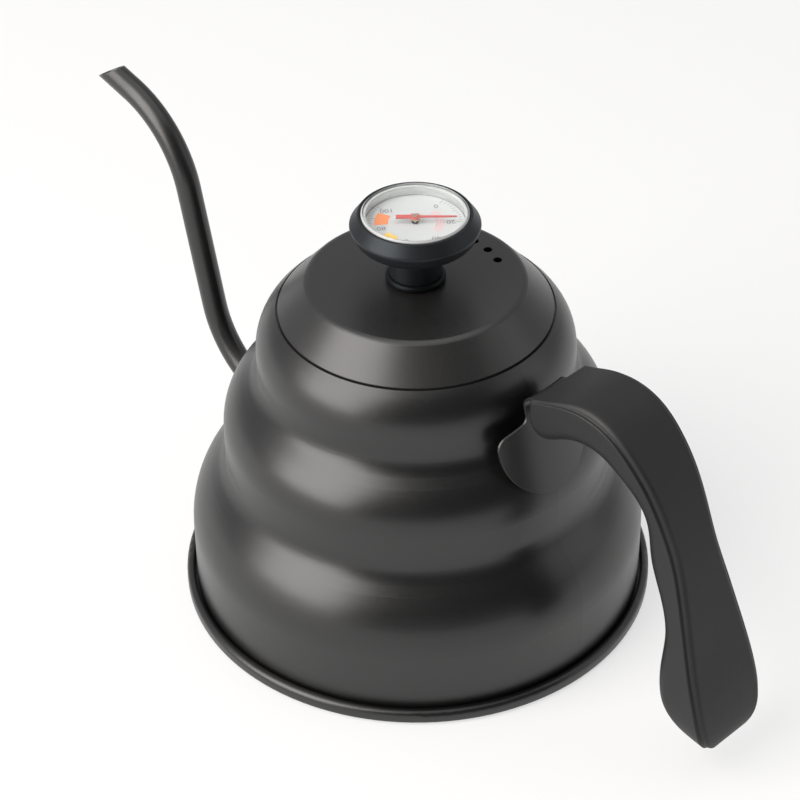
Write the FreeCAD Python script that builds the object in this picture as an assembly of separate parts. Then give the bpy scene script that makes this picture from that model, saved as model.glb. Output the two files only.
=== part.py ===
import FreeCAD, Part
import math
import os

from FreeCAD import Placement, Rotation, Vector

# Gooseneck kettle with a dial thermometer in its lid knob. Sizes are in millimetres.
# Z is up and the origin is on the kettle's axis at the table.
# The handle points along +X and the spout along -X.

# Clearances
WELD_GAP = 0.1        # between sheets that are welded or seamed together
SLIP_GAP = 0.15       # between pieces that are pushed together by hand
SEAT_GAP = 0.05       # between faces that rest on each other
SCREW_GAP = 0.1       # round a screw, stud or thread
SHAFT_GAP = 0.05      # running fit of the pointer's shaft
LID_GAP = 0.4         # radial play of the lid in the mouth
CUT_SPARE = 1.0       # how far a cut runs past the piece that it goes through
SAME_PLACE = 1e-4     # two edges closer than this are at one place

# Body: three spun tiers, each a straight wall under a shoulder that is round below and straight above
LOW_TIER, MIDDLE_TIER, TOP_TIER = range(3)
SHEET = 0.8
TIER_RADIUS = (73.6, 61.8, 50.3)
TIER_WALL_TOP = (24.0, 62.0, 90.5)
CREASE_HEIGHT = (48.9, 82.0)
SHOULDER_LEAN = (40.0, 45.0)      # degrees from upright at the crease
LEAN_SPARE = 8.0      # degrees, at least, that a shoulder leans past the straight way to its crease
CREASE_ROUND = 1.2
MOUTH_EDGE_RADIUS = 43.6
MOUTH_EDGE_HEIGHT = 105.0
MOUTH_RADIUS = 39.4
SEAT_DEPTH = 0.8
LIP_DROP = 4.0
LIP_BEVEL = 0.4

# Base pan: a flat floor whose edge is rolled over the body's flange
RIM_OVERHANG = 3.4
RIM_HEIGHT = 4.6
RIM_ROUND = 1.6
RIM_BEVEL = 0.8
RIM_OPENING = 0.8
FLANGE_WIDTH = 2.2

# Gooseneck: straight runs joined by two bends, reaches counted from the low tier's wall
TUBE_RADIUS = 4.15
TUBE_WALL = 0.6
ROOT_HEIGHT = 31.3
ROOT_DEPTH = 7.0
KNEE_REACH = 21.0
KNEE_HEIGHT = 36.9
KNEE_BEND = 33.0
CROOK_REACH = 39.8
CROOK_HEIGHT = 120.5
CROOK_BEND = 37.0
TIP_REACH = 72.0
TIP_HEIGHT = 129.4
TIP_CUT_ANGLE = 31.0
TIP_SPARE = 12.0
TIP_WASTE = 48.0

# Handle bracket: a pressed plate that lies on the middle shoulder, leans in and bends out into a tang
PLATE = 1.5
PLATE_FOOT_RISE = 4.5
LOBE_HALF_WIDTH = 18.6
LOBE_ROUND = 18.0
LOBE_LOW = 6.3
LOBE_TOP = 28.4
LOBE_TOP_ROUND = 4.5
NECK_HALF_WIDTH = 7.5
NECK_LOW = 31.6
NECK_ROUND = 2.5
NECK_STANDOFF = 2.2
TANG_RISE = 11.8
TANG_LENGTH = 18.0
TANG_BEND = 3.0
SPREAD_SPARE = 5.0    # degrees that the plate's sheet runs past its outline before it is trimmed

# Handle grip: sections from the kettle down to the free end, counted from the top of its end face
# Each row is the ledge's point (out, up), the inner side's point (out, up) and the half width
GRIP_STANDOFF = 6.75
GRIP_RISE = 16.2
GRIP_SECTIONS = ((0.0, 0.0, 0.0, -10.4, 12.4),
                 (4.5, 1.5, 4.6, -12.9, 12.4),
                 (11.0, 3.8, 11.2, -9.6, 12.4),
                 (20.0, 5.1, 19.0, -6.8, 12.3),
                 (29.5, 2.9, 25.4, -7.1, 12.1),
                 (38.5, -3.9, 31.8, -10.4, 11.6),
                 (45.5, -12.7, 39.2, -16.6, 10.9),
                 (50.3, -21.7, 42.9, -24.0, 10.3),
                 (54.8, -32.2, 44.6, -34.7, 10.0),
                 (59.3, -44.2, 49.6, -44.6, 11.2),
                 (63.0, -55.2, 53.8, -55.5, 12.6),
                 (66.8, -66.7, 54.2, -67.2, 14.0),
                 (70.2, -77.2, 54.9, -77.2, 14.6),
                 (72.2, -85.2, 57.6, -84.0, 14.2),
                 (72.7, -90.0, 62.2, -88.6, 12.6),
                 (72.3, -93.4, 66.8, -92.0, 9.2),
                 (71.7, -95.0, 69.0, -93.7, 5.5))
PANEL_STEP = 1.8
PANEL_END_STEP = 0.6
PANEL_RUN_IN = 20.0
PANEL_ROUND_SHARE = 0.9     # of the step
STEP_SHARE = 0.25           # of the grip's depth, at most
LEDGE_WIDTH = 1.1
GRIP_ROUND = 4.5
GRIP_ROUND_SHARE = 0.8      # of the grip's depth, at most

# Handle screws
SCREW_RADIUS = 1.75
SCREW_HEAD_RADIUS = 3.2
SCREW_HEAD_HEIGHT = 2.2
SCREW_HEAD_DROP = 2.0
SCREW_WELL = 6.6
SCREW_REACH = 6.0
SCREW_SPACING = 8.4
SCREW_TIP = 1.0

# Lid: flat top, sloping band and a short hem that stands on the mouth's seat
LID_SEAM_GAP = 0.7
LID_HEM = 1.25
LID_TOP_RADIUS = 33.8
LID_RISE = 10.6
LID_ROUND = 2.5
SKIRT_DEPTH = 6.6
VENT_RADIUS = 1.4
VENT_CIRCLE = 27.1
VENT_FIRST_ANGLE = 65.5
VENT_STEP_ANGLE = 13.5
VENT_COUNT = 3

# Knob, its collar and its stud
COLLAR_RADIUS = 9.35
COLLAR_END_RADIUS = 8.5
COLLAR_HEIGHT = 2.4
KNOB_NECK_RADIUS = 8.2
KNOB_NECK_HEIGHT = 8.6
KNOB_RIM = 3.75
KNOB_UNDERSIDE = 4.4
KNOB_LOW_FLANK = 4.4
KNOB_LOW_TAPER = 1.9
KNOB_FLANK = 3.8
KNOB_EDGE_ROUND = 1.2
KNOB_FOOT_ROUND = 4.0
KNOB_NECK_FLARE = 3.0
KNOB_TOP_LAND = 0.7
CUP_DEPTH = 5.4
WELL_RADIUS = 12.0
WELL_FLOOR = 4.2
STUD_RADIUS = 5.0
STUD_BORE = 3.0
STUD_BELOW_LID = 9.0
STUD_END_WALL = 1.5
WASHER_RADIUS = 8.5
WASHER_THICKNESS = 1.0
NUT_ACROSS_FLATS = 15.0
NUT_HEIGHT = 5.0

# Thermometer head
LENS_RADIUS = 16.5
LENS_THICKNESS = 1.6
LENS_SKIRT_WALL = 0.5
LENS_SKIRT_DROP = 3.5
LENS_BEVEL = 0.5
LENS_STANDS_PROUD = 0.6
CUP_GAP = 0.3
CASE_WALL = 0.6
CASE_FLOOR = 0.6
GASKET_THICKNESS = 0.5
GASKET_WIDTH = 0.8
DIAL_THICKNESS = 0.6
DIAL_HOLE = 1.1
DIAL_BELOW_LENS = 3.2

# Thermometer stem and movement
STEM_RADIUS = 2.0
STEM_WALL = 0.4
STEM_TIP_HEIGHT = 20.0
BUSH_FLANGE_RADIUS = 3.6
BUSH_FLANGE = 0.7
BUSH_LENGTH = 6.0
PLUG_CAP = 3.0
PLUG_SPIGOT = 2.0
TIP_BEVEL = 1.0
GUIDE_LENGTH = 3.0
GUIDE_DROP = 1.0
SHAFT_RADIUS = 0.5
COIL_OUTER = 1.3
COIL_INNER = 0.9
COIL_LENGTH = 22.0
COIL_GAP = 0.3

# Pointer
POINTER_ANGLE = 45.5
POINTER_BELOW_LENS = 1.0
POINTER_THICKNESS = 0.3
POINTER_TIP = 12.6
POINTER_TAIL = 5.9
POINTER_TIP_HALF_WIDTH = 0.3
POINTER_ROOT_HALF_WIDTH = 0.5
POINTER_TAIL_HALF_WIDTH = 0.9
POINTER_BOSS_HALF_LENGTH = 1.05
HUB_RADIUS = 1.5
HUB_HEIGHT = 0.5
HUB_SPIGOT_RADIUS = 0.9
HUB_CAP = 0.3


# Outline helpers

def flat(x, z):
    return Vector(x, 0, z)


def line(a, b):
    return Part.LineSegment(flat(*a), flat(*b)).toShape()


def arc(a, middle, b):
    return Part.Arc(flat(*a), flat(*middle), flat(*b)).toShape()


def corner_arc(before, corner, after, radius):
    """The two tangent points and the middle of a round corner."""
    p, c, q = (Vector(v[0], 0, v[1]) for v in (before, corner, after))
    u = p.sub(c).normalize()
    v = q.sub(c).normalize()
    half = u.getAngle(v) / 2
    reach = radius / math.tan(half)
    inward = u.add(v).normalize()
    middle = c.add(inward.multiply(radius / math.sin(half) - radius))
    start = c.add(u.multiply(reach))
    end = c.add(v.multiply(reach))
    return [(w.x, w.z) for w in (start, middle, end)]


def rounded_edges(corners, closed=True):
    """Lines through (x, z) or (x, z, radius) corners, with tangent arcs where a radius is given."""
    count = len(corners)
    edges = []
    at = None
    first = None
    for i, corner in enumerate(corners):
        inner = closed or 0 < i < count - 1
        if len(corner) == 3 and inner:
            start, middle, end = corner_arc(corners[i - 1], corner, corners[(i + 1) % count], corner[2])
        else:
            start = middle = end = corner[:2]
        if at is not None:
            edges.append(line(at, start))
        if start != end:
            edges.append(arc(start, middle, end))
        first = first or start
        at = end
    if closed:
        edges.append(line(at, first))
    return edges


def turned(corners):
    """A solid of revolution about Z from a closed outline of (r, z) corners."""
    face = Part.Face(Part.Wire(rounded_edges(corners)))
    return face.revolve(Vector(), Vector(0, 0, 1), 360)


def ring(inner, outer, low, high):
    return turned([(inner, low), (outer, low), (outer, high), (inner, high)])


def rod(radius, low, high, x=0.0, y=0.0):
    return Part.makeCylinder(radius, high - low, Vector(x, y, low))


def circles_at(shape, places):
    """The round edges of a turned shape that lie at the given (r, z) places."""
    found = []
    for edge in shape.Edges:
        if not isinstance(edge.Curve, Part.Circle):
            continue
        for r, z in places:
            if math.hypot(edge.Curve.Radius - r, edge.Curve.Center.z - z) < SAME_PLACE:
                found.append(edge)
    return found


# Body

FLANGE_HEIGHT = SHEET + SEAT_GAP
SEAT_HEIGHT = MOUTH_EDGE_HEIGHT - SEAT_DEPTH


def shoulder(tier):
    """Centre radius, arc radius and lean of a tier's shoulder, which ends at the next piece up."""
    if tier < TOP_TIER:
        end = (TIER_RADIUS[tier + 1], CREASE_HEIGHT[tier])
    else:
        end = (MOUTH_EDGE_RADIUS, MOUTH_EDGE_HEIGHT)
    run = TIER_RADIUS[tier] - end[0]
    rise = end[1] - TIER_WALL_TOP[tier]
    straight = math.atan2(run, rise)
    lean = 2 * straight
    if tier < TOP_TIER:
        lean = max(math.radians(SHOULDER_LEAN[tier]), straight + math.radians(LEAN_SPARE))
    rho = (rise * math.sin(lean) - run * math.cos(lean)) / (1 - math.cos(lean))
    return TIER_RADIUS[tier] - rho, rho, lean


def shoulder_edges(tier, inset, end):
    """A tier's shoulder, moved in by inset: an arc, and on the lower tiers a cone after it."""
    centre, rho, lean = shoulder(tier)
    low = TIER_WALL_TOP[tier]
    rho -= inset
    if tier == TOP_TIER:
        lean = math.atan2(end[1] - low, end[0] - centre)
    wall, middle, last = [(centre + rho * math.cos(a), low + rho * math.sin(a)) for a in (0, lean / 2, lean)]
    if tier == TOP_TIER:
        return [arc(wall, middle, end)]
    return [arc(wall, middle, last), line(last, end)]


def crease(tier, inset):
    """Where a tier's cone, moved in by inset, meets the wall above it."""
    lean = shoulder(tier)[2]
    r = TIER_RADIUS[tier + 1] - inset
    return r, CREASE_HEIGHT[tier] + inset * (math.cos(lean) - 1) / math.sin(lean)


def under_seat():
    """Where the inside of the top shoulder meets the underside of the lid's seat."""
    centre, rho = shoulder(TOP_TIER)[:2]
    z = SEAT_HEIGHT - SHEET
    return centre + math.sqrt((rho - SHEET) ** 2 - (z - TIER_WALL_TOP[TOP_TIER]) ** 2), z


def tier_edges(inset, low, top):
    """The body's side from its low wall to a point near the mouth."""
    edges = []
    at = (TIER_RADIUS[0] - inset, low)
    for tier in range(len(TIER_RADIUS)):
        wall_end = (TIER_RADIUS[tier] - inset, TIER_WALL_TOP[tier])
        end = top if tier == TOP_TIER else crease(tier, inset)
        edges.append(line(at, wall_end))
        edges += shoulder_edges(tier, inset, end)
        at = end
    return edges


def cavity():
    """The water space, used to trim what enters it."""
    top = under_seat()
    rest = [top, (0, top[1]), (0, FLANGE_HEIGHT), (TIER_RADIUS[LOW_TIER] - SHEET, FLANGE_HEIGHT)]
    edges = tier_edges(SHEET, FLANGE_HEIGHT, top) + rounded_edges(rest, closed=False)
    return Part.Face(Part.Wire(edges)).revolve(Vector(), Vector(0, 0, 1), 360)


def body_shell():
    wall = TIER_RADIUS[LOW_TIER]
    flange_top = FLANGE_HEIGHT + SHEET
    flange_radius = wall + FLANGE_WIDTH
    edge = (MOUTH_EDGE_RADIUS, MOUTH_EDGE_HEIGHT)
    under = under_seat()
    lip = MOUTH_RADIUS + SHEET
    lip_low = SEAT_HEIGHT - LIP_DROP
    inside = tier_edges(SHEET, FLANGE_HEIGHT, under)
    mouth = [edge, (MOUTH_EDGE_RADIUS, SEAT_HEIGHT), (MOUTH_RADIUS + LIP_BEVEL, SEAT_HEIGHT),
             (MOUTH_RADIUS, SEAT_HEIGHT - LIP_BEVEL), (MOUTH_RADIUS, lip_low), (lip, lip_low),
             (lip, under[1]), under]
    foot = [(wall - SHEET, FLANGE_HEIGHT), (flange_radius, FLANGE_HEIGHT),
            (flange_radius, flange_top), (wall, flange_top)]
    edges = tier_edges(0, flange_top, edge)
    edges += rounded_edges(mouth, closed=False)
    edges += list(reversed(inside))
    edges += rounded_edges(foot, closed=False)
    shell = Part.Face(Part.Wire(Part.__sortEdges__(edges))).revolve(Vector(), Vector(0, 0, 1), 360)
    creases = [crease(tier, 0) for tier in range(len(CREASE_HEIGHT))]
    shell = shell.makeFillet(CREASE_ROUND, circles_at(shell, creases))
    return shell.cut(spout_solid(TUBE_RADIUS + WELD_GAP))


def base_pan():
    outer = TIER_RADIUS[LOW_TIER] + RIM_OVERHANG
    lip = TIER_RADIUS[LOW_TIER] + RIM_OPENING
    inner = outer - SHEET
    return turned([(0, 0), (outer - RIM_BEVEL, 0), (outer, RIM_BEVEL), (outer, RIM_HEIGHT, RIM_ROUND),
                   (lip, RIM_HEIGHT), (lip, RIM_HEIGHT - SHEET), (inner - RIM_BEVEL, RIM_HEIGHT - SHEET),
                   (inner, RIM_HEIGHT - SHEET - RIM_BEVEL),
                   (inner, SHEET), (0, SHEET)])


# Spout

def spout_path():
    wall = -TIER_RADIUS[LOW_TIER]
    slope = (KNEE_HEIGHT - ROOT_HEIGHT) / KNEE_REACH
    tip_slope = (TIP_HEIGHT - CROOK_HEIGHT) / (TIP_REACH - CROOK_REACH)
    corners = [(wall + ROOT_DEPTH, ROOT_HEIGHT - ROOT_DEPTH * slope),
               (wall - KNEE_REACH, KNEE_HEIGHT, KNEE_BEND),
               (wall - CROOK_REACH, CROOK_HEIGHT, CROOK_BEND),
               (wall - TIP_REACH - TIP_SPARE, TIP_HEIGHT + TIP_SPARE * tip_slope)]
    return Part.Wire(rounded_edges(corners, closed=False))


def spout_solid(radius):
    path = spout_path()
    start = path.Edges[0]
    circle = Part.makeCircle(radius, start.Vertexes[0].Point, start.tangentAt(start.FirstParameter))
    return path.makePipeShell([Part.Wire(circle)], True, False)


def spout_tube():
    tube = spout_solid(TUBE_RADIUS).cut(spout_solid(TUBE_RADIUS - TUBE_WALL)).cut(cavity())
    tip = flat(-TIER_RADIUS[LOW_TIER] - TIP_REACH, TIP_HEIGHT)
    waste = Part.makeBox(TIP_WASTE, TIP_WASTE, TIP_WASTE, Vector(-TIP_WASTE / 2, -TIP_WASTE / 2, 0))
    waste.Placement = Placement(tip, Rotation(Vector(0, 1, 0), -TIP_CUT_ANGLE))
    return tube.cut(waste)


# Handle bracket

FOOT_HEIGHT = TIER_WALL_TOP[MIDDLE_TIER] + PLATE_FOOT_RISE
TANG_HEIGHT = TIER_WALL_TOP[TOP_TIER] + TANG_RISE
NECK_X = TIER_RADIUS[TOP_TIER] + NECK_STANDOFF + PLATE / 2
GRIP_X = NECK_X + GRIP_STANDOFF
GRIP_Z = TIER_WALL_TOP[TOP_TIER] + GRIP_RISE
TANG_END = GRIP_X + TANG_LENGTH


def bracket_centre_line():
    """Middle of the plate: along the middle shoulder, straight up to the neck, then out."""
    centre, rho = shoulder(MIDDLE_TIER)[:2]
    low = TIER_WALL_TOP[MIDDLE_TIER]
    rho += WELD_GAP + PLATE / 2
    reach = math.hypot(NECK_X - centre, TANG_HEIGHT - low)
    leave = math.atan2(TANG_HEIGHT - low, NECK_X - centre) - math.acos(rho / reach)
    foot = math.asin((FOOT_HEIGHT - low) / rho)
    at = [(centre + rho * math.cos(a), low + rho * math.sin(a)) for a in (foot, (foot + leave) / 2, leave)]
    leg = [at[2], (NECK_X, TANG_HEIGHT, TANG_BEND), (TANG_END, TANG_HEIGHT)]
    return Part.Wire([arc(*at)] + rounded_edges(leg, closed=False))


def keyhole():
    """Front outline of the plate, a broad round lobe under a narrow neck, as a bar along X."""
    base = TIER_WALL_TOP[MIDDLE_TIER]
    half = [(NECK_HALF_WIDTH, TANG_HEIGHT + PLATE + CUT_SPARE),
            (NECK_HALF_WIDTH, base + NECK_LOW, NECK_ROUND),
            (LOBE_HALF_WIDTH, base + LOBE_TOP, LOBE_TOP_ROUND),
            (LOBE_HALF_WIDTH, base + LOBE_LOW, LOBE_ROUND)]
    mirrored = [(-corner[0],) + corner[1:] for corner in reversed(half)]
    face = Part.Face(Part.Wire(rounded_edges(half + mirrored)))
    face.rotate(Vector(), Vector(0, 0, 1), 90)
    return face.extrude(Vector(TANG_END + CUT_SPARE, 0, 0))


def screw_places():
    return [(GRIP_X + SCREW_REACH, side * SCREW_SPACING / 2) for side in (-1, 1)]


def handle_bracket():
    strip = bracket_centre_line().makeOffset2D(PLATE / 2, join=0, fill=True, openResult=True)
    spread = math.degrees(math.asin(LOBE_HALF_WIDTH / NECK_X)) + SPREAD_SPARE
    strip.rotate(Vector(), Vector(0, 0, 1), -spread)
    plate = strip.revolve(Vector(), Vector(0, 0, 1), 2 * spread).common(keyhole())
    for place in screw_places():
        plate = plate.cut(rod(SCREW_RADIUS + SCREW_GAP, TANG_HEIGHT - PLATE, TANG_HEIGHT + PLATE, *place))
    return plate


# Handle grip and its screws

HEAD_SEAT = TANG_HEIGHT - PLATE / 2 - SCREW_HEAD_DROP


def grip_section(ledge_x, ledge_z, inner_x, inner_z, half):
    """One cross-section: a raised round-edged panel, a ledge on each side and a rounded inner side."""
    across = Vector(0, 1, 0)
    depth_line = flat(ledge_x - inner_x, ledge_z - inner_z)
    depth = depth_line.Length
    outward = depth_line.normalize()
    run_in = min(1.0, ledge_x / PANEL_RUN_IN)
    step = min(PANEL_END_STEP + (PANEL_STEP - PANEL_END_STEP) * run_in, STEP_SHARE * depth)
    panel = half - LEDGE_WIDTH * step / PANEL_STEP
    under = min(GRIP_ROUND, GRIP_ROUND_SHARE * depth)
    side = [(panel, step, PANEL_ROUND_SHARE * step), (panel, 0), (half, 0), (half, -depth, under)]
    mirrored = [(-corner[0],) + corner[1:] for corner in reversed(side)]
    wire = Part.Wire(rounded_edges(side + mirrored))
    wire.Placement = Placement(flat(GRIP_X + ledge_x, GRIP_Z + ledge_z),
                               Rotation(across, outward.cross(across), outward, "ZXY"))
    return wire


def handle_grip():
    grip = Part.makeLoft([grip_section(*row) for row in GRIP_SECTIONS], True, False)
    half = NECK_HALF_WIDTH + SLIP_GAP
    deep = PLATE + 2 * SLIP_GAP
    slot = Part.makeBox(TANG_LENGTH + SLIP_GAP + CUT_SPARE, 2 * half, deep,
                        Vector(GRIP_X - CUT_SPARE, -half, TANG_HEIGHT - deep / 2))
    grip = grip.cut(slot)
    for place in screw_places():
        hole = rod(SCREW_RADIUS + SCREW_GAP, HEAD_SEAT - CUT_SPARE, TANG_HEIGHT + PLATE + SCREW_TIP, *place)
        well = rod(SCREW_HEAD_RADIUS + SLIP_GAP, HEAD_SEAT - SCREW_WELL, HEAD_SEAT, *place)
        grip = grip.cut(hole).cut(well)
    return grip


def handle_screws():
    head_top = HEAD_SEAT - SEAT_GAP
    screws = []
    for place in screw_places():
        shank = rod(SCREW_RADIUS, head_top - SCREW_HEAD_HEIGHT, TANG_HEIGHT + PLATE / 2 + SCREW_TIP, *place)
        head = rod(SCREW_HEAD_RADIUS, head_top - SCREW_HEAD_HEIGHT, head_top, *place)
        screws.append(shank.fuse(head).removeSplitter())
    return Part.makeCompound(screws)


# Lid

LID_RADIUS = MOUTH_EDGE_RADIUS - LID_SEAM_GAP
LID_LOW = SEAT_HEIGHT + SEAT_GAP
LID_TOP = MOUTH_EDGE_HEIGHT + LID_RISE
LID_UNDER = LID_TOP - SHEET
HEM_TOP = LID_LOW + LID_HEM
BAND_ANGLE = math.atan2(LID_TOP - HEM_TOP, LID_RADIUS - LID_TOP_RADIUS)


def band_inside(r, gap=0.0):
    """Height of the sloping band's inner face at radius r, less a gap."""
    return HEM_TOP + (LID_RADIUS - r) * math.tan(BAND_ANGLE) - (SHEET + gap) / math.cos(BAND_ANGLE)


def lid_shell():
    hole = STUD_RADIUS + SCREW_GAP
    hem_inner = LID_RADIUS - SHEET
    inner_corner = LID_TOP_RADIUS - SHEET * math.tan(BAND_ANGLE / 2)
    shell = turned([(hole, LID_TOP), (LID_TOP_RADIUS, LID_TOP, LID_ROUND), (LID_RADIUS, HEM_TOP),
                    (LID_RADIUS, LID_LOW), (hem_inner, LID_LOW), (hem_inner, band_inside(hem_inner)),
                    (inner_corner, LID_UNDER), (hole, LID_UNDER)])
    for i in range(VENT_COUNT):
        angle = math.radians(VENT_FIRST_ANGLE + i * VENT_STEP_ANGLE)
        vent = rod(VENT_RADIUS, LID_UNDER - CUT_SPARE, LID_TOP + CUT_SPARE,
                   VENT_CIRCLE * math.cos(angle), VENT_CIRCLE * math.sin(angle))
        shell = shell.cut(vent)
    return shell


def lid_skirt():
    outer = MOUTH_RADIUS - LID_GAP
    inner = outer - SHEET
    low = SEAT_HEIGHT - SKIRT_DEPTH
    return turned([(inner, low), (outer, low), (outer, band_inside(outer, WELD_GAP)),
                   (inner, band_inside(inner, WELD_GAP))])


# Knob and what clamps it

COLLAR_TOP = LID_TOP + COLLAR_HEIGHT
KNOB_NECK_TOP = COLLAR_TOP + KNOB_NECK_HEIGHT
KNOB_FOOT = KNOB_NECK_TOP + KNOB_UNDERSIDE
KNOB_EDGE = KNOB_FOOT + KNOB_LOW_FLANK
KNOB_TOP = KNOB_EDGE + KNOB_FLANK
KNOB_RADIUS = LENS_RADIUS + KNOB_RIM
CUP_RADIUS = LENS_RADIUS + CUP_GAP
CUP_HEIGHT = KNOB_TOP - CUP_DEPTH
WELL_HEIGHT = KNOB_NECK_TOP + WELL_FLOOR
STUD_TOP = WELL_HEIGHT - STUD_END_WALL
STUD_LOW = LID_UNDER - STUD_BELOW_LID
LENS_TOP = KNOB_TOP + LENS_STANDS_PROUD


def knob_collar():
    """A bead-shaped ring."""
    hole = STUD_RADIUS + SCREW_GAP
    foot, head = (COLLAR_END_RADIUS, LID_TOP), (COLLAR_END_RADIUS, COLLAR_TOP)
    bulge = arc(foot, (COLLAR_RADIUS, (LID_TOP + COLLAR_TOP) / 2), head)
    inside = rounded_edges([head, (hole, COLLAR_TOP), (hole, LID_TOP), foot], closed=False)
    return Part.Face(Part.Wire([bulge] + inside)).revolve(Vector(), Vector(0, 0, 1), 360)


def knob():
    bore = STUD_RADIUS + SCREW_GAP
    neck_bore = STUD_BORE + SCREW_GAP
    return turned([(bore, COLLAR_TOP), (KNOB_NECK_RADIUS, COLLAR_TOP),
                   (KNOB_NECK_RADIUS, KNOB_NECK_TOP, KNOB_NECK_FLARE),
                   (KNOB_RADIUS - KNOB_LOW_TAPER, KNOB_FOOT, KNOB_FOOT_ROUND),
                   (KNOB_RADIUS, KNOB_EDGE, KNOB_EDGE_ROUND), (CUP_RADIUS + KNOB_TOP_LAND, KNOB_TOP),
                   (CUP_RADIUS, KNOB_TOP), (CUP_RADIUS, CUP_HEIGHT), (WELL_RADIUS, CUP_HEIGHT),
                   (WELL_RADIUS, WELL_HEIGHT), (neck_bore, WELL_HEIGHT), (neck_bore, STUD_TOP),
                   (bore, STUD_TOP)])


def knob_stud():
    return ring(STUD_BORE, STUD_RADIUS, STUD_LOW, STUD_TOP - SEAT_GAP)


def stud_washer():
    top = LID_UNDER - SEAT_GAP
    return ring(STUD_RADIUS + SCREW_GAP, WASHER_RADIUS, top - WASHER_THICKNESS, top)


def stud_nut():
    top = LID_UNDER - WASHER_THICKNESS - 2 * SEAT_GAP
    reach = NUT_ACROSS_FLATS / math.sqrt(3)
    corners = [Vector(reach * math.cos(math.radians(a)), reach * math.sin(math.radians(a)), top - NUT_HEIGHT)
               for a in range(0, 361, 60)]
    nut = Part.Face(Part.makePolygon(corners)).extrude(Vector(0, 0, NUT_HEIGHT))
    return nut.cut(rod(STUD_RADIUS + SCREW_GAP, top - NUT_HEIGHT - CUT_SPARE, top + CUT_SPARE))


# Thermometer head

CASE_RADIUS = LENS_RADIUS - LENS_SKIRT_WALL - SLIP_GAP
CASE_INNER = CASE_RADIUS - CASE_WALL
CASE_LOW = WELL_HEIGHT + SEAT_GAP
CASE_FLOOR_TOP = CASE_LOW + CASE_FLOOR
LENS_UNDER = LENS_TOP - LENS_THICKNESS
CASE_TOP = LENS_UNDER - GASKET_THICKNESS - 2 * SEAT_GAP
DIAL_TOP = LENS_UNDER - DIAL_BELOW_LENS
DIAL_SEAT = DIAL_TOP - DIAL_THICKNESS - SEAT_GAP
BUSH_RADIUS = STUD_BORE - SCREW_GAP


def thermometer_case():
    hole = BUSH_RADIUS + SCREW_GAP
    step = CUP_HEIGHT + SEAT_GAP
    well = WELL_RADIUS - CUP_GAP
    ledge = well - CASE_WALL
    return turned([(hole, CASE_LOW), (well, CASE_LOW), (well, step), (CASE_RADIUS, step),
                   (CASE_RADIUS, CASE_TOP), (CASE_INNER, CASE_TOP), (CASE_INNER, DIAL_SEAT),
                   (ledge, DIAL_SEAT), (ledge, CASE_FLOOR_TOP), (hole, CASE_FLOOR_TOP)])


def lens_gasket():
    low = CASE_TOP + SEAT_GAP
    return ring(CASE_RADIUS - GASKET_WIDTH, CASE_RADIUS, low, low + GASKET_THICKNESS)


def lens():
    skirt = LENS_RADIUS - LENS_SKIRT_WALL
    return turned([(0, LENS_UNDER), (skirt, LENS_UNDER), (skirt, LENS_UNDER - LENS_SKIRT_DROP),
                   (LENS_RADIUS, LENS_UNDER - LENS_SKIRT_DROP), (LENS_RADIUS, LENS_TOP - LENS_BEVEL),
                   (LENS_RADIUS - LENS_BEVEL, LENS_TOP), (0, LENS_TOP)])


def dial_plate():
    return ring(DIAL_HOLE, CASE_INNER - SLIP_GAP, DIAL_TOP - DIAL_THICKNESS, DIAL_TOP)


# Thermometer stem

STEM_BORE = STEM_RADIUS - STEM_WALL
STEM_LOW = STEM_TIP_HEIGHT + PLUG_CAP + SEAT_GAP
STEM_TOP = CASE_FLOOR_TOP + BUSH_FLANGE
COIL_LOW = STEM_LOW + PLUG_SPIGOT + COIL_GAP
SHAFT_LOW = COIL_LOW + COIL_LENGTH + COIL_GAP
GUIDE_TOP = STEM_TOP - GUIDE_DROP


def stem_bush():
    bore = STEM_RADIUS + SHAFT_GAP
    low = CASE_LOW - BUSH_LENGTH
    flange = CASE_FLOOR_TOP + SEAT_GAP
    top = flange + BUSH_FLANGE
    return turned([(bore, low), (BUSH_RADIUS, low), (BUSH_RADIUS, flange),
                   (BUSH_FLANGE_RADIUS, flange), (BUSH_FLANGE_RADIUS, top), (bore, top)])


def probe_stem():
    return ring(STEM_BORE, STEM_RADIUS, STEM_LOW, STEM_TOP)


def probe_tip():
    spigot = STEM_BORE - SHAFT_GAP
    cap_top = STEM_LOW - SEAT_GAP
    return turned([(0, STEM_TIP_HEIGHT), (STEM_RADIUS - TIP_BEVEL, STEM_TIP_HEIGHT),
                   (STEM_RADIUS, STEM_TIP_HEIGHT + TIP_BEVEL), (STEM_RADIUS, cap_top), (spigot, cap_top),
                   (spigot, cap_top + PLUG_SPIGOT), (0, cap_top + PLUG_SPIGOT)])


def bimetal_coil():
    """The close-wound strip, kept as a plain sleeve because the stem hides it."""
    return ring(COIL_INNER, COIL_OUTER, COIL_LOW, COIL_LOW + COIL_LENGTH)


def shaft_guide():
    return ring(SHAFT_RADIUS + SHAFT_GAP, STEM_BORE - SHAFT_GAP, GUIDE_TOP - GUIDE_LENGTH, GUIDE_TOP)


# Pointer

POINTER_TOP = LENS_UNDER - POINTER_BELOW_LENS
POINTER_LOW = POINTER_TOP - POINTER_THICKNESS
HUB_LOW = POINTER_LOW - HUB_HEIGHT


def pointer_shaft():
    return rod(SHAFT_RADIUS, SHAFT_LOW, POINTER_TOP + HUB_CAP)


def pointer_hub():
    bore = SHAFT_RADIUS + SHAFT_GAP
    top = POINTER_TOP + HUB_CAP
    return turned([(bore, HUB_LOW), (HUB_RADIUS, HUB_LOW), (HUB_RADIUS, POINTER_LOW),
                   (HUB_SPIGOT_RADIUS, POINTER_LOW), (HUB_SPIGOT_RADIUS, top), (bore, top)])


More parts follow.
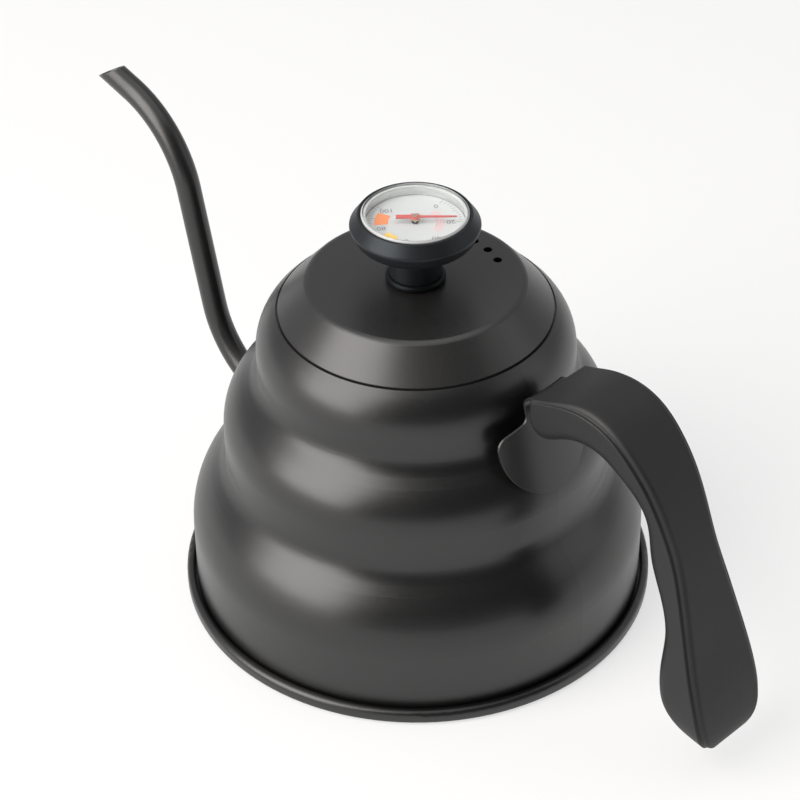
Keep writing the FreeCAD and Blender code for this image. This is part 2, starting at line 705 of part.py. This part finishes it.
def pointer_needle():
    outline = [(POINTER_TIP, POINTER_TIP_HALF_WIDTH), (HUB_RADIUS, POINTER_ROOT_HALF_WIDTH),
               (POINTER_BOSS_HALF_LENGTH, HUB_RADIUS), (-POINTER_BOSS_HALF_LENGTH, HUB_RADIUS),
               (-HUB_RADIUS, POINTER_TAIL_HALF_WIDTH), (-POINTER_TAIL, POINTER_TAIL_HALF_WIDTH)]
    outline += [(x, -y) for x, y in reversed(outline)]
    points = [Vector(x, y, POINTER_LOW) for x, y in outline]
    needle = Part.Face(Part.makePolygon(points + points[:1])).extrude(Vector(0, 0, POINTER_THICKNESS))
    needle = needle.cut(rod(HUB_SPIGOT_RADIUS + SHAFT_GAP, POINTER_LOW - CUT_SPARE, POINTER_TOP + CUT_SPARE))
    needle.rotate(Vector(), Vector(0, 0, 1), POINTER_ANGLE)
    return needle


PIECES = (body_shell, base_pan, spout_tube, handle_bracket, handle_grip, handle_screws,
          lid_shell, lid_skirt, knob_collar, knob, knob_stud, stud_washer, stud_nut,
          thermometer_case, lens_gasket, lens, dial_plate,
          stem_bush, probe_stem, probe_tip, bimetal_coil, shaft_guide,
          pointer_shaft, pointer_hub, pointer_needle)

os.makedirs("parts", exist_ok=True)
for piece in PIECES:
    piece().exportStep("parts/" + piece.__name__ + ".step")
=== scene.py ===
"""Looks of a gooseneck kettle with a dial thermometer in its lid knob, in metres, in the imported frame."""

import math

import bmesh
import bpy
from mathutils import Matrix, Vector


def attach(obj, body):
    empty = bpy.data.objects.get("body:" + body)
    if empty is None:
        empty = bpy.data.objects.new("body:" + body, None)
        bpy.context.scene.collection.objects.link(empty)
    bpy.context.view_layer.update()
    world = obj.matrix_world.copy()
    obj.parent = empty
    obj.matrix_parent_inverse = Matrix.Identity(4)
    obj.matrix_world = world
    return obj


# Camera, solved from the rims in the photograph
CAMERA_PLACE = (0.443549, -0.435874, 0.54691)
CAMERA_HEADING = 135.986
CAMERA_PITCH = 37.59
CAMERA_ROLL = -0.717
CAMERA_LENS = 110.73
CAMERA_AZIMUTH = math.degrees(math.atan2(CAMERA_PLACE[1], CAMERA_PLACE[0]))

# Studio: the point the lamps aim at, the walls behind the kettle and behind the camera, and the floor
AIM = Vector((0.0, 0.0, 0.075))
FAR_RADIANCE = 0.5
NEAR_RADIANCE = 0.09
WALL_COLOUR = (0.97, 0.97, 1.0, 1.0)
WALL_BLEND_START = -0.5
WALL_BLEND_END = 0.25
FLOOR_RADIUS = 9.0
FLOOR_DROP = 0.0002
FLOOR_COLOUR = (0.8, 0.8, 0.8, 1.0)
FLOOR_WHITE = 0.6       # share of plain white in the floor as the camera and shiny surfaces see it

# Colours
COAT = (0.0052, 0.005, 0.005)
# The lid's coating is the body's coating made lighter: a painted sheen standing in for the brighter
# reflections on the lid's band
LID_COAT_PAINTED_SHEEN = (0.0125, 0.0121, 0.012)
PLASTIC = (0.0082, 0.0083, 0.0088)
KNOB_BLACK = (0.0068, 0.0074, 0.0082)
COLLAR_BLACK = (0.004, 0.0042, 0.0046)
COOL_SHEEN = (0.82, 0.92, 1.0, 1.0)
STEEL = (0.6, 0.59, 0.57)
CASE_STEEL = (0.7, 0.7, 0.69)
BRASS = (0.72, 0.52, 0.24)
HUB_BRASS = (0.74, 0.5, 0.33)
BIMETAL = (0.62, 0.5, 0.38)
SILICONE = (0.5, 0.5, 0.495)
ENAMEL = (0.53, 0.533, 0.536)
POINTER_RED = (0.5, 0.075, 0.065)
CLEAR = (0.97, 0.985, 0.985, 1.0)
# Pale colour of the window's opaque edge: a painted reflection of the white floor and walls
RIM_PAINTED_REFLECTION = (0.42, 0.425, 0.43, 1.0)
WINDOW_SHADE = (0.93, 0.95, 0.95, 1.0)

# Grain: scales of the noise, depths of the relief and ranges of the roughness
COAT_GRAIN = 2400.0
COAT_CLOUD = 30.0
COAT_ROUGH = (0.29, 0.38)
COAT_RELIEF = 0.00012
SPUN_GRAIN = 2600.0
BRUSHED_GRAIN = 1500.0
BRUSHED_ROUGH = (0.24, 0.36)
METAL_TURNED_GRAIN = 2200.0
METAL_PLAIN_GRAIN = 1800.0
PLASTIC_CLOUD = 45.0
PAINT_GRAIN = 3500.0
WINDOW_SMUDGE = 160.0
FINE_RELIEF = 0.0001
RING_RISE = 1.7         # how much faster circular grain runs up a wall than across a flat

# Softened edges
EDGE_SAMPLES = 16
EDGE_SOFT = 0.0003
GRIP_EDGE_SOFT = 0.0009
RIM_SOFT = 0.0016

# Body: distance from the axis and height of its two creases, how far they blend, and the lean midway
CREASES = ((0.0619, 0.0489, 0.0), (0.0504, 0.08205, 0.0))
CREASE_REACH = 0.0042
CREASE_LEAN = math.radians(21.0)

# Bare steel: where the lid faces down, on the base's floor and inside the body
LID_BARE_FACING = -0.3
PAN_BARE_RADIUS = 0.0735
PAN_BARE_FACING = 0.2
BODY_RISE_WEIGHT = 0.6

# Window: inside this radius it is clear; outside it the edge is opaque and its pale colour is a painted
# reflection
WINDOW_CLEAR_RADIUS = 0.01602

# Dial: values run clockwise from SCALE_START over SCALE_SWEEP degrees
ZONE_LIFT = 0.00004
INK_LIFT = 0.00008
SCALE_START = 99.5
SCALE_SWEEP = 270.0
SCALE_END = 100
TICK_OUTER = 0.0145
TICK_MAJOR = 0.0019
TICK_MINOR = 0.0011
TICK_HALF_WIDTH = 0.00011
NUMBER_RADIUS = 0.0108
NUMBER_HEIGHT = 0.0029
INK_ROUGH = 0.5
INK_ORANGE = (0.82, 0.25, 0.08)
INK_YELLOW = (0.86, 0.56, 0.1)
INK_PINK = (0.78, 0.36, 0.36)
INK_GREY = (0.2, 0.2, 0.21)
INK_DARK = (0.16, 0.16, 0.17)

# Dial zones: inner and outer radius, first and last value
HOT_BAND = (0.0082, 0.0124, 84, 96)
WARM_BAND = (0.0095, 0.0118, 65, 74)
COOL_BANDS = ((0.0066, 0.0069, 2, 34), (0.0075, 0.0078, 2, 34), (0.0084, 0.0087, 2, 34))

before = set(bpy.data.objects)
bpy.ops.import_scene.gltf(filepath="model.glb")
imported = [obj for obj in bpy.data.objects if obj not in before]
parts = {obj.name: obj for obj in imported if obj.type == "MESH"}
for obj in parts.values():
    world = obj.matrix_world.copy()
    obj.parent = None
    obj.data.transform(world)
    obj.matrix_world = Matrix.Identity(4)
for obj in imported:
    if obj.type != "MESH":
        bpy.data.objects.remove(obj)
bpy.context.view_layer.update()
scene = bpy.context.scene


# Shader helpers
def add(tree, kind, inputs=None, **settings):
    """A new shader node with its settings, and its inputs set to values or linked to sockets."""
    node = tree.nodes.new("ShaderNode" + kind)
    for key, value in settings.items():
        setattr(node, key, value)
    for key, value in (inputs or {}).items():
        if isinstance(value, bpy.types.NodeSocket):
            tree.links.new(value, node.inputs[key])
        else:
            node.inputs[key].default_value = value
    return node


def math_of(tree, operation, first, second=0.0):
    return add(tree, "Math", {0: first, 1: second}, operation=operation).outputs[0]


def noise(tree, vector, scale, detail=2.0, roughness=0.55):
    inputs = {"Vector": vector, "Scale": scale, "Detail": detail, "Roughness": roughness}
    return add(tree, "TexNoise", inputs).outputs["Fac"]


def spread(tree, value, low, high, from_low=0.3, from_high=0.7):
    """A noise value brought to a range."""
    inputs = {"Value": value, "From Min": from_low, "From Max": from_high, "To Min": low, "To Max": high}
    return add(tree, "MapRange", inputs).outputs[0]


def blend_colours(tree, share, first, second):
    node = add(tree, "Mix", {0: share, 6: first, 7: second}, data_type="RGBA")
    return node.outputs[2]


def shade(colour, times=1.0):
    return tuple(min(1.0, c * times) for c in colour) + (1.0,)


def material(name, **sockets):
    """A material with one Principled shader. Returns it with its node tree and the shader."""
    made = bpy.data.materials.new(name)
    made.use_nodes = True
    tree = made.node_tree
    shader = tree.nodes["Principled BSDF"]
    for key, value in sockets.items():
        shader.inputs[key.replace("_", " ")].default_value = value
    return made, tree, shader


def object_place(tree):
    return add(tree, "TexCoord").outputs["Object"]


def flat_place(tree):
    """A place with its height left out."""
    split = add(tree, "SeparateXYZ", {0: object_place(tree)})
    return add(tree, "CombineXYZ", {0: split.outputs["X"], 1: split.outputs["Y"]}).outputs[0]


def axis_distance(tree):
    """Distance of a place from the kettle's axis."""
    return add(tree, "VectorMath", {0: flat_place(tree)}, operation="LENGTH").outputs["Value"]


def outward_way(tree):
    """Level direction away from the kettle's axis."""
    return add(tree, "VectorMath", {0: flat_place(tree)}, operation="NORMALIZE").outputs[0]


def turned_vector(tree, along, across):
    """Coordinates that run round the kettle's axis, so that noise drawn in them is fine circular grain."""
    split = add(tree, "SeparateXYZ", {0: object_place(tree)})
    angle = math_of(tree, "ARCTAN2", split.outputs["Y"], split.outputs["X"])
    ring = math_of(tree, "MULTIPLY_ADD", split.outputs["Z"], RING_RISE)
    tree.links.new(axis_distance(tree), ring.node.inputs[2])
    inputs = {0: math_of(tree, "MULTIPLY", angle, along), 1: math_of(tree, "MULTIPLY", ring, across)}
    return add(tree, "CombineXYZ", inputs).outputs[0]


def bump(tree, shader, height, strength, distance, soften=0.0):
    """Fine relief on a shader, over edges softened by a small radius. Returns the relief's node."""
    inputs = {"Height": height, "Strength": strength, "Distance": distance}
    node = add(tree, "Bump", inputs)
    if soften:
        edge = add(tree, "Bevel", {"Radius": soften}, samples=EDGE_SAMPLES)
        tree.links.new(edge.outputs[0], node.inputs["Normal"])
    tree.links.new(node.outputs[0], shader.inputs["Normal"])
    return node


# Materials
def outside_share(tree, kind):
    """1 on the coated outside of a sheet piece and 0 on its bare inside."""
    normal = add(tree, "TexCoord").outputs["Normal"]
    facing = add(tree, "SeparateXYZ", {0: normal}).outputs["Z"]
    if kind == "lid":
        return math_of(tree, "GREATER_THAN", facing, LID_BARE_FACING)
    if kind == "pan":
        inside = math_of(tree, "LESS_THAN", axis_distance(tree), PAN_BARE_RADIUS)
        upward = math_of(tree, "GREATER_THAN", facing, PAN_BARE_FACING)
        return math_of(tree, "SUBTRACT", 1.0, math_of(tree, "MULTIPLY", inside, upward))
    lean = add(tree, "VectorMath", {0: outward_way(tree), 1: normal}, operation="DOT_PRODUCT")
    total = math_of(tree, "MULTIPLY_ADD", facing, BODY_RISE_WEIGHT)
    tree.links.new(lean.outputs["Value"], total.node.inputs[2])
    return math_of(tree, "GREATER_THAN", total, 0.0)


def soft_creases(tree, outside):
    """Normals of the body that turn little by little from shoulder to wall about its two outer creases."""
    height = add(tree, "SeparateXYZ", {0: object_place(tree)}).outputs["Z"]
    profile = add(tree, "CombineXYZ", {0: axis_distance(tree), 1: height}).outputs[0]
    gaps = [add(tree, "VectorMath", {0: profile, 1: crease}, operation="DISTANCE") for crease in CREASES]
    near = math_of(tree, "MINIMUM", *(gap.outputs["Value"] for gap in gaps))
    share = math_of(tree, "MULTIPLY", spread(tree, near, 1.0, 0.0, 0.0, CREASE_REACH), outside)
    lean = {1: (math.cos(CREASE_LEAN),) * 3, 2: (0.0, 0.0, math.sin(CREASE_LEAN))}
    middle = add(tree, "VectorMath", {0: outward_way(tree), **lean}, operation="MULTIPLY_ADD").outputs[0]
    to_world = {"vector_type": "NORMAL", "convert_from": "OBJECT", "convert_to": "WORLD"}
    middle = add(tree, "VectorTransform", {0: middle}, **to_world).outputs[0]
    surface = add(tree, "NewGeometry").outputs["Normal"]
    mixed = add(tree, "Mix", {0: share, 4: surface, 5: middle}, data_type="VECTOR").outputs[1]
    return add(tree, "VectorMath", {0: mixed}, operation="NORMALIZE").outputs[0]


def coated_steel(name, turned, bare_inside=None, soften=0.0, coat=COAT):
    """Satin dark coating over spun metal, with bare brushed steel inside a hollow piece."""
    made, tree, shader = material(name, Specular_IOR_Level=0.7)
    place = object_place(tree)
    speckle = noise(tree, place, COAT_GRAIN, 3.0, 0.6)
    cloud = noise(tree, place, COAT_CLOUD, 2.0)
    colour = blend_colours(tree, spread(tree, speckle, 0.0, 1.0), shade(coat, 0.75), shade(coat, 1.25))
    rough = math_of(tree, "ADD", spread(tree, speckle, *COAT_ROUGH), spread(tree, cloud, -0.02, 0.02))
    height = speckle
    if turned:
        grain = noise(tree, turned_vector(tree, 5.0, SPUN_GRAIN), 1.0, 2.0)
        height = math_of(tree, "ADD", speckle, math_of(tree, "MULTIPLY", grain, 0.6))
    if bare_inside:
        outside = outside_share(tree, bare_inside)
        brush = noise(tree, turned_vector(tree, 2.0, BRUSHED_GRAIN), 1.0, 3.0)
        bare = blend_colours(tree, spread(tree, brush, 0.0, 1.0), shade(STEEL, 0.85), shade(STEEL, 1.1))
        colour = blend_colours(tree, outside, bare, colour)
        bare_rough = spread(tree, brush, *BRUSHED_ROUGH)
        step = math_of(tree, "MULTIPLY", math_of(tree, "SUBTRACT", rough, bare_rough), outside)
        rough = math_of(tree, "ADD", bare_rough, step)
        tree.links.new(math_of(tree, "SUBTRACT", 1.0, outside), shader.inputs["Metallic"])
    tree.links.new(colour, shader.inputs["Base Color"])
    tree.links.new(rough, shader.inputs["Roughness"])
    relief = bump(tree, shader, height, 0.14, COAT_RELIEF, soften)
    if bare_inside == "shell":
        tree.links.new(soft_creases(tree, outside), relief.inputs["Normal"])
    return made


def moulded_plastic(name, colour, rough, fleck, strength, soften=0.0, **sockets):
    """Black plastic from a spark-eroded mould: fine even texture, a little broad unevenness."""
    made, tree, shader = material(name, **sockets)
    place = object_place(tree)
    texture = noise(tree, place, fleck, 3.0, 0.6)
    cloud = noise(tree, place, PLASTIC_CLOUD, 2.0)
    mixed = blend_colours(tree, spread(tree, cloud, 0.0, 1.0), shade(colour, 0.85), shade(colour, 1.15))
    grain = spread(tree, texture, rough - 0.06, rough + 0.06)
    total = math_of(tree, "ADD", grain, spread(tree, cloud, -0.03, 0.03))
    tree.links.new(mixed, shader.inputs["Base Color"])
    tree.links.new(total, shader.inputs["Roughness"])
    bump(tree, shader, texture, strength, FINE_RELIEF, soften)
    return made


def plain_metal(name, colour, rough, turned=True):
    """Bare metal with the fine lines of turning or brushing."""
    made, tree, shader = material(name, Metallic=1.0)
    vector = turned_vector(tree, 3.0, METAL_TURNED_GRAIN) if turned else object_place(tree)
    lines = noise(tree, vector, 1.0 if turned else METAL_PLAIN_GRAIN, 3.0)
    mixed = blend_colours(tree, spread(tree, lines, 0.0, 1.0), shade(colour, 0.85), shade(colour, 1.12))
    tree.links.new(mixed, shader.inputs["Base Color"])
    tree.links.new(spread(tree, lines, rough - 0.06, rough + 0.08), shader.inputs["Roughness"])
    bump(tree, shader, lines, 0.08, FINE_RELIEF)
    return made


def paint(name, colour, rough, change=0.06):
    """Paint or printing ink, very slightly uneven."""
    made, tree, shader = material(name)
    place = object_place(tree)
    grains = noise(tree, place, PAINT_GRAIN, 2.0)
    darker, lighter = shade(colour, 1.0 - change), shade(colour, 1.0 + change)
    mixed = blend_colours(tree, spread(tree, grains, 0.0, 1.0), darker, lighter)
    tree.links.new(mixed, shader.inputs["Base Color"])
    tree.links.new(spread(tree, grains, rough - 0.05, rough + 0.05), shader.inputs["Roughness"])
    return made


def clear_window(name):
    """Clear plastic that lets the lamps through to the dial, with a rough opaque edge painted pale: a
    painted reflection of the white surroundings.
    """
    made, tree, shader = material(name, IOR=1.49)
    edge = math_of(tree, "GREATER_THAN", axis_distance(tree), WINDOW_CLEAR_RADIUS)
    # The edge takes the pale painted reflection in place of the clear colour
    colour = blend_colours(tree, edge, CLEAR, RIM_PAINTED_REFLECTION)
    smudge = spread(tree, noise(tree, object_place(tree), WINDOW_SMUDGE, 3.0), 0.0, 0.03)
    rough = math_of(tree, "ADD", smudge, math_of(tree, "MULTIPLY", edge, 0.3))
    tree.links.new(colour, shader.inputs["Base Color"])
    tree.links.new(rough, shader.inputs["Roughness"])
    tree.links.new(math_of(tree, "SUBTRACT", 1.0, edge), shader.inputs["Transmission Weight"])
    passing = add(tree, "BsdfTransparent", {"Color": WINDOW_SHADE})
    shadow = add(tree, "LightPath").outputs["Is Shadow Ray"]
    mixed = add(tree, "MixShader", {0: shadow, 1: shader.outputs[0], 2: passing.outputs[0]})
    tree.links.new(mixed.outputs[0], tree.nodes["Material Output"].inputs["Surface"])
    return made


looks = {
    "body_shell": coated_steel("coating_body", turned=True, bare_inside="shell"),
    "base_pan": coated_steel("coating_base", turned=True, bare_inside="pan", soften=RIM_SOFT),
    # The lid's lighter coating colour is a painted sheen over its whole coated outside
    "lid_shell": coated_steel("coating_lid", turned=True, bare_inside="lid", coat=LID_COAT_PAINTED_SHEEN),
    "spout_tube": coated_steel("coating_spout", turned=False),
    "handle_bracket": coated_steel("coating_bracket", turned=False, soften=EDGE_SOFT),
    "handle_grip": moulded_plastic("plastic_grip", PLASTIC, rough=0.52, fleck=2600.0, strength=0.16,
                                   soften=GRIP_EDGE_SOFT, Specular_IOR_Level=0.45),
    "knob": moulded_plastic("plastic_knob", KNOB_BLACK, rough=0.42, fleck=2800.0, strength=0.12,
                            soften=EDGE_SOFT, Specular_IOR_Level=0.34, Specular_Tint=COOL_SHEEN),
    "knob_collar": moulded_plastic("plastic_collar", COLLAR_BLACK, rough=0.42, fleck=2800.0, strength=0.08,
                                   Specular_IOR_Level=0.14, Specular_Tint=COOL_SHEEN),
    "lens_gasket": moulded_plastic("gasket_silicone", SILICONE, rough=0.55, fleck=3000.0, strength=0.2),
    "lens": clear_window("window"),
    "dial_plate": paint("dial_enamel", ENAMEL, rough=0.5, change=0.02),
    "thermometer_case": plain_metal("case_steel", CASE_STEEL, 0.34),
    "lid_skirt": plain_metal("skirt_steel", STEEL, 0.3),
    "knob_stud": plain_metal("stud_steel", STEEL, 0.32),
    "stud_washer": plain_metal("washer_steel", STEEL, 0.35),
    "stud_nut": plain_metal("nut_steel", STEEL, 0.33),
    "probe_stem": plain_metal("stem_steel", STEEL, 0.24),
    "probe_tip": plain_metal("tip_steel", STEEL, 0.28),
    "handle_screws": plain_metal("screw_steel", STEEL, 0.35, turned=False),
    "stem_bush": plain_metal("bush_brass", BRASS, 0.32),
    "shaft_guide": plain_metal("guide_brass", BRASS, 0.35),
    "bimetal_coil": plain_metal("coil_metal", BIMETAL, 0.38),
    "pointer_shaft": plain_metal("shaft_steel", STEEL, 0.3),
    "pointer_hub": plain_metal("hub_brass", HUB_BRASS, 0.35),
    "pointer_needle": paint("pointer_red", POINTER_RED, rough=0.42, change=0.08),
}
for name, look in looks.items():
    parts[name].data.materials.clear()
    parts[name].data.materials.append(look)


# Dial printing: flat pieces laid on the dial plate
plate = parts["dial_plate"]
dial_top = max((plate.matrix_world @ Vector(corner)).z for corner in plate.bound_box)


def dial_angle(value):
    return math.radians(SCALE_START - SCALE_SWEEP * value / SCALE_END)


def on_dial(radius, angle, lift):
    return Vector((radius * math.cos(angle), radius * math.sin(angle), dial_top + lift))


def printed(name, mesh, look):
    piece = bpy.data.objects.new(name, mesh)
    scene.collection.objects.link(piece)
    mesh.materials.append(look)
    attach(piece, "lid")


def arc_band(mesh, inner, outer, first, last, steps=36):
    """A band of the dial between two radii and two scale values."""
    angles = [dial_angle(first + (last - first) * i / steps) for i in range(steps + 1)]
    lower = [mesh.verts.new(on_dial(inner, a, ZONE_LIFT)) for a in angles]
    upper = [mesh.verts.new(on_dial(outer, a, ZONE_LIFT)) for a in angles]
    for i in range(steps):
        mesh.faces.new((lower[i], lower[i + 1], upper[i + 1], upper[i]))


def tick(mesh, value, length):
    angle = dial_angle(value)
    side = Vector((-math.sin(angle), math.cos(angle), 0.0)) * TICK_HALF_WIDTH
    inner = on_dial(TICK_OUTER - length, angle, INK_LIFT)
    outer = on_dial(TICK_OUTER, angle, INK_LIFT)
    mesh.faces.new([mesh.verts.new(p) for p in (inner + side, inner - side, outer - side, outer + side)])


def finished(mesh, name):
    bmesh.ops.recalc_face_normals(mesh, faces=mesh.faces)
    for face in mesh.faces:
        if face.normal.z < 0.0:
            face.normal_flip()
    data = bpy.data.meshes.new(name)
    mesh.to_mesh(data)
    mesh.free()
    return data


def bands(name, look, rows):
    mesh = bmesh.new()
    for inner, outer, first, last in rows:
        arc_band(mesh, inner, outer, first, last)
    printed(name, finished(mesh, name), look)


def dial_ticks():
    mesh = bmesh.new()
    for value in range(0, SCALE_END + 1, 2):
        tick(mesh, value, TICK_MAJOR if value % 10 == 0 else TICK_MINOR)
    ink = paint("ink_grey", INK_GREY, INK_ROUGH)
    printed("dial_ticks", finished(mesh, "dial_ticks"), ink)


def dial_numbers():
    """Plain numbers at every twenty, upright for a reader at the dial's foot."""
    mesh = bmesh.new()
    upright = dial_angle(SCALE_END / 2) - math.pi / 2
    for value in range(0, SCALE_END + 1, 20):
        text = bpy.data.curves.new("number", "FONT")
        text.body = str(value)
        text.size = NUMBER_HEIGHT
        text.align_x = "CENTER"
        text.align_y = "CENTER"
        text.resolution_u = 3
        holder = bpy.data.objects.new("number", text)
        flat = bpy.data.meshes.new_from_object(holder)
        place = Matrix.Translation(on_dial(NUMBER_RADIUS, dial_angle(value), INK_LIFT))
        flat.transform(place @ Matrix.Rotation(upright, 4, "Z"))
        mesh.from_mesh(flat)
        bpy.data.objects.remove(holder)
    ink = paint("ink_dark", INK_DARK, INK_ROUGH)
    printed("dial_numbers", finished(mesh, "dial_numbers"), ink)


bands("dial_zone_hot", paint("ink_orange", INK_ORANGE, INK_ROUGH), [HOT_BAND])
bands("dial_zone_warm", paint("ink_yellow", INK_YELLOW, INK_ROUGH), [WARM_BAND])
bands("dial_zone_cool", paint("ink_pink", INK_PINK, INK_ROUGH), COOL_BANDS)
dial_ticks()
dial_numbers()


# Floor, lights and world
def white_floor():
    mesh = bmesh.new()
    bmesh.ops.create_circle(mesh, cap_ends=True, segments=96, radius=FLOOR_RADIUS)
    data = bpy.data.meshes.new("floor")
    mesh.to_mesh(data)
    mesh.free()
    floor = bpy.data.objects.new("floor", data)
    floor.location.z = -FLOOR_DROP
    scene.collection.objects.link(floor)
    made, tree, shader = material("floor_white", Roughness=0.9)
    shader.inputs["Base Color"].default_value = FLOOR_COLOUR
    rays = add(tree, "LightPath").outputs
    seen = math_of(tree, "MAXIMUM", rays["Is Camera Ray"], rays["Is Glossy Ray"])
    seen = math_of(tree, "MAXIMUM", seen, rays["Is Transmission Ray"])
    white = add(tree, "Emission", {"Color": (1.0, 1.0, 1.0, 1.0), "Strength": 1.0})
    share = math_of(tree, "MULTIPLY", seen, FLOOR_WHITE)
    mixed = add(tree, "MixShader", {0: share, 1: shader.outputs[0], 2: white.outputs[0]})
    tree.links.new(mixed.outputs[0], tree.nodes["Material Output"].inputs["Surface"])
    data.materials.append(made)


def towards(azimuth, elevation):
    """A direction given from the camera's azimuth, positive to its right, and above the horizon."""
    a, e = math.radians(CAMERA_AZIMUTH + azimuth), math.radians(elevation)
    return Vector((math.cos(a) * math.cos(e), math.sin(a) * math.cos(e), math.sin(e)))


def softbox(name, azimuth, elevation, distance, width, height, radiance, colour):
    lamp = bpy.data.lights.new(name, "AREA")
    lamp.shape = "RECTANGLE"
    lamp.size = width
    lamp.size_y = height
    lamp.color = colour
    lamp.energy = radiance * math.pi * width * height
    holder = bpy.data.objects.new(name, lamp)
    back = towards(azimuth, elevation)
    holder.location = AIM + back * distance
    holder.rotation_euler = (-back).to_track_quat("-Z", "Y").to_euler()
    holder.visible_camera = False
    scene.collection.objects.link(holder)


def studio_world():
    """Pale walls all round, lighter behind the kettle than behind the camera."""
    world = bpy.data.worlds.new("studio")
    scene.world = world
    world.use_nodes = True
    tree = world.node_tree
    coords = add(tree, "TexCoord").outputs["Generated"]
    far = towards(180.0, 0.0)
    lean = add(tree, "VectorMath", {0: coords, 1: tuple(far)}, operation="DOT_PRODUCT").outputs["Value"]
    steps = {"From Min": WALL_BLEND_START, "From Max": WALL_BLEND_END}
    levels = {"Value": lean, **steps, "To Min": NEAR_RADIANCE, "To Max": FAR_RADIANCE}
    strength = add(tree, "MapRange", levels, interpolation_type="SMOOTHSTEP").outputs[0]
    back = tree.nodes["Background"]
    back.inputs["Color"].default_value = WALL_COLOUR
    tree.links.new(strength, back.inputs["Strength"])


white_floor()
softbox("key", azimuth=-60.0, elevation=33.0, distance=1.4, width=1.2, height=1.6, radiance=5.8,
        colour=(1.0, 0.97, 0.935))
softbox("overhead", azimuth=0.0, elevation=90.0, distance=1.5, width=1.7, height=1.7, radiance=0.9,
        colour=(1.0, 0.985, 0.96))
softbox("right_fill", azimuth=82.0, elevation=22.0, distance=1.5, width=1.0, height=1.0, radiance=0.6,
        colour=(1.0, 0.97, 0.94))
studio_world()

# Camera
lens = bpy.data.cameras.new("camera")
lens.lens = CAMERA_LENS
lens.sensor_width = 36.0
lens.clip_start = 0.01
lens.clip_end = 100.0
eye = bpy.data.objects.new("camera", lens)
eye.matrix_world = (
    Matrix.Translation(CAMERA_PLACE)
    @ Matrix.Rotation(math.radians(CAMERA_HEADING - 90.0), 4, "Z")
    @ Matrix.Rotation(math.radians(90.0 - CAMERA_PITCH), 4, "X")
    @ Matrix.Rotation(math.radians(CAMERA_ROLL), 4, "Z")
)
scene.collection.objects.link(eye)
scene.camera = eye
scene.view_settings.view_transform = "Standard"
